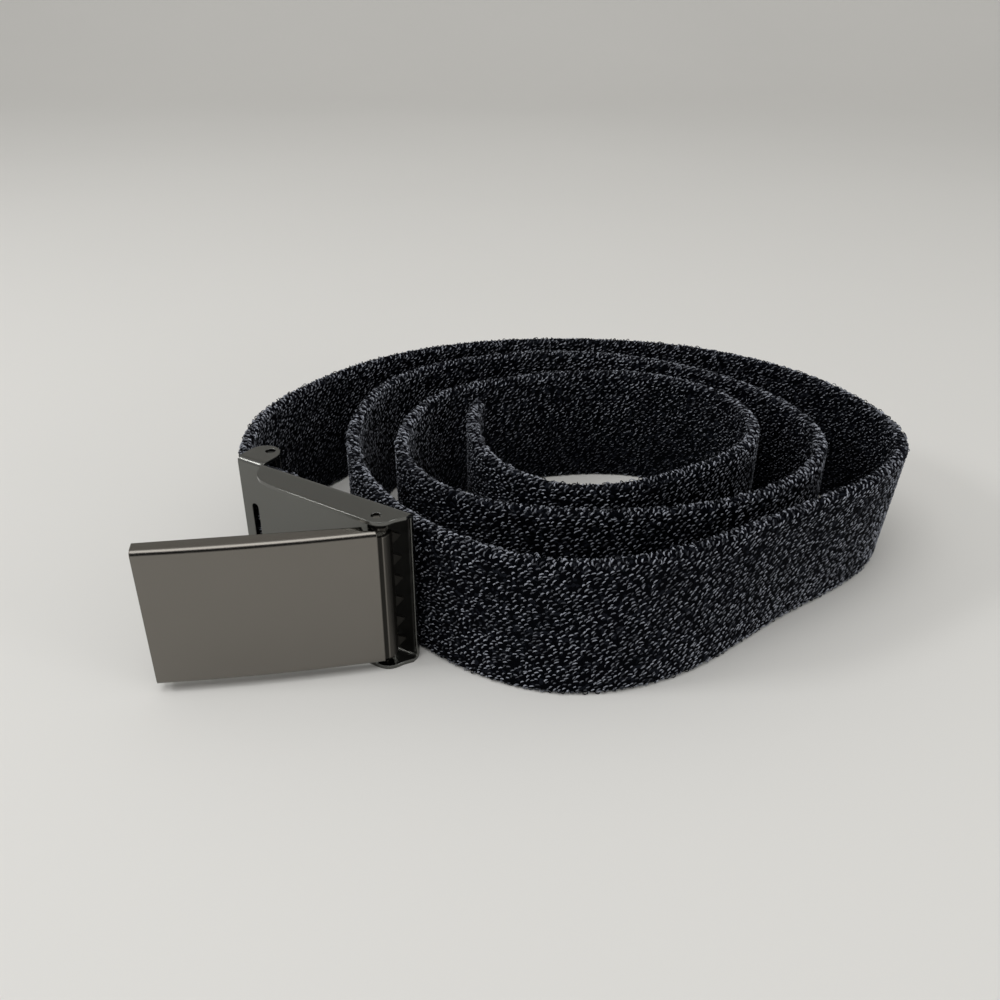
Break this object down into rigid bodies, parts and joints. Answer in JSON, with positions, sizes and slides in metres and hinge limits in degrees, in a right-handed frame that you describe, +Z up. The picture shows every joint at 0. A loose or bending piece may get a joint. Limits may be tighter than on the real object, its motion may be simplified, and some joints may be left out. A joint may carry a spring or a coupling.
{
  "type": "elastic stretch belt with a hinged clasp",
  "caption": "Knitted elastic stretch belt lying on its edge in a loose coil, with a folded metal clasp whose toothed cover is hinged open.",
  "frame": {"origin": "middle of the underside of the whole coiled belt", "axes": "+X along the coil's longest side, away from the open cover; +Y away from the cover's face; +Z up"},
  "size_m": [0.2, 0.1482, 0.043],
  "materials": {
    "webbing": "heathered navy and grey knit",
    "base_metal": "polished gunmetal",
    "cover_metal": "satin gunmetal",
    "clamp_metal": "plain gunmetal"
  },
  "bodies": {
    "belt": {"webbing": "webbing", "base_plate": "base_metal", "end_clamp": "clamp_metal"},
    "cover": {"cover_plate": "cover_metal"}
  },
  "joints": [
    {"name": "cover_hinge", "type": "hinge", "parent": "belt", "child": "cover", "pos_m": [-0.04567, -0.06111, 0], "axis": [0, 0, 1], "range_deg": [-40.5, 0]}
  ]
}
